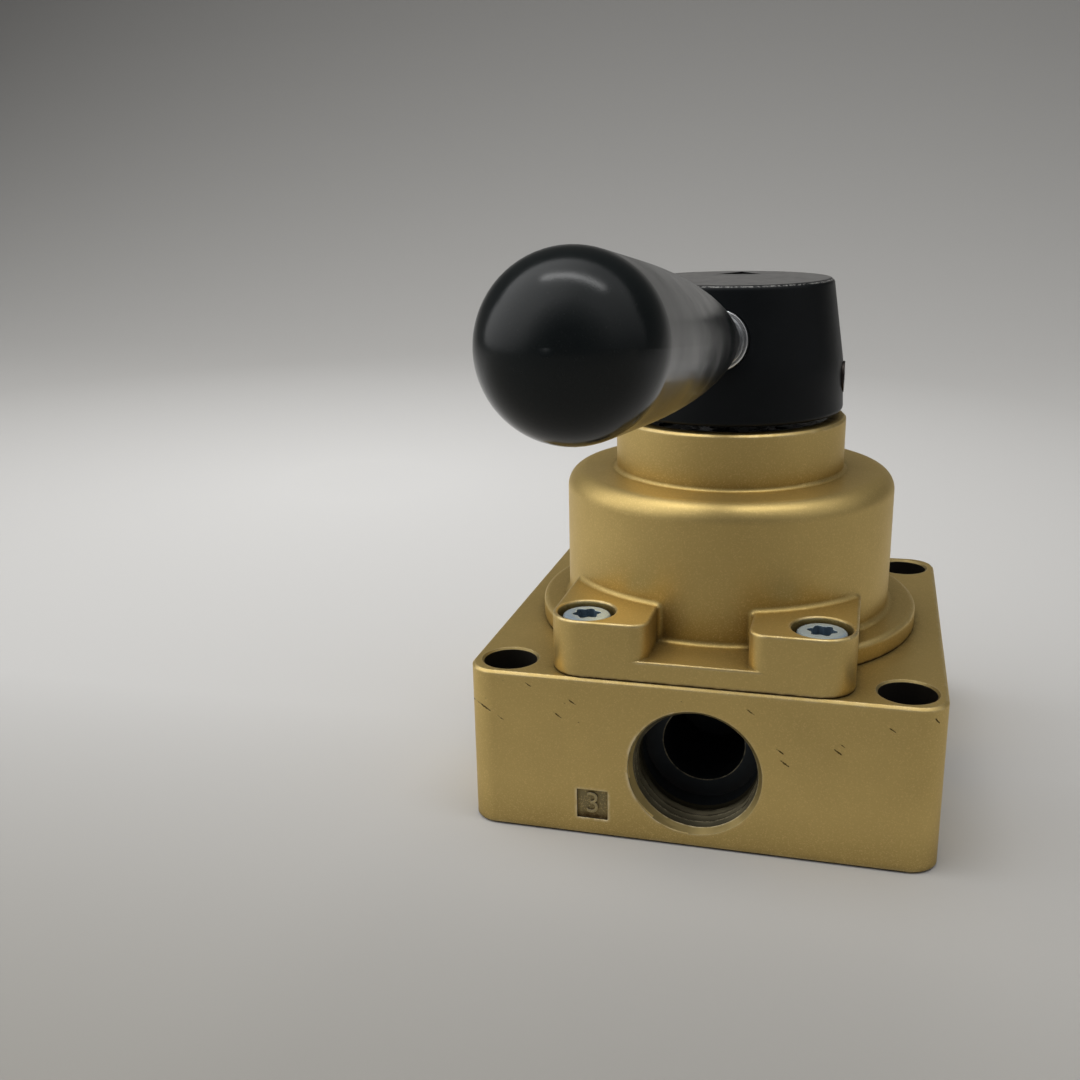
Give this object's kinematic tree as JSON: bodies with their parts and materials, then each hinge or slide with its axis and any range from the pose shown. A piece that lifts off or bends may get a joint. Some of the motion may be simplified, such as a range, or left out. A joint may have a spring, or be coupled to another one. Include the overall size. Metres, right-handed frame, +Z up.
{
  "type": "hand lever air valve",
  "caption": "Rotary disc air valve with a square ported block, a round bolted bonnet and a tapered hand lever on a black knob that turns to either side of its middle position.",
  "frame": {"origin": "bottom centre of the square block, on the stem's axis", "axes": "+Z up along the stem, -Y the side that the lever points to in its middle position, +X to the right of a person who faces that side"},
  "size_m": [0.072, 0.1513, 0.0939],
  "materials": {
    "gold_lacquer": "die-cast aluminium, satin gold metallic lacquer",
    "zinc_plate": "bright blue-white zinc plate",
    "seal_rubber": "nitrile rubber",
    "lapped_aluminium": "lapped hard-anodised aluminium",
    "ground_steel": "ground hardened steel",
    "bearing_bronze": "bearing bronze",
    "spring_steel": "patented spring wire",
    "black_phenolic": "glossy black moulded phenolic",
    "blackened_steel": "black oxide",
    "chrome_plate": "bright chrome plate"
  },
  "bodies": {
    "housing": {"valve_body": "gold_lacquer", "bonnet": "gold_lacquer", "cover_screws": "zinc_plate", "spring_washers": "zinc_plate", "bonnet_o_ring": "seal_rubber", "seat_plate": "lapped_aluminium", "port_seals": "seal_rubber", "seat_pins": "ground_steel", "stem_bush": "bearing_bronze", "detent_plate": "ground_steel", "detent_plate_pins": "ground_steel"},
    "rotor": {"stem": "ground_steel", "rotary_disc": "lapped_aluminium", "drive_pins": "ground_steel", "disc_spring": "spring_steel", "thrust_washer": "bearing_bronze", "stem_seals": "seal_rubber", "knob_cap": "black_phenolic", "knob_set_screw": "blackened_steel", "lever_rod": "chrome_plate", "lever_collar": "chrome_plate", "lever_grip": "black_phenolic", "detent_balls": "ground_steel", "detent_springs": "spring_steel"}
  },
  "joints": [
    {"name": "lever_turn", "type": "hinge", "parent": "housing", "child": "rotor", "pos_m": [0, 0, 0.06], "axis": [0, 0, 1], "range_deg": [-45, 45]}
  ]
}
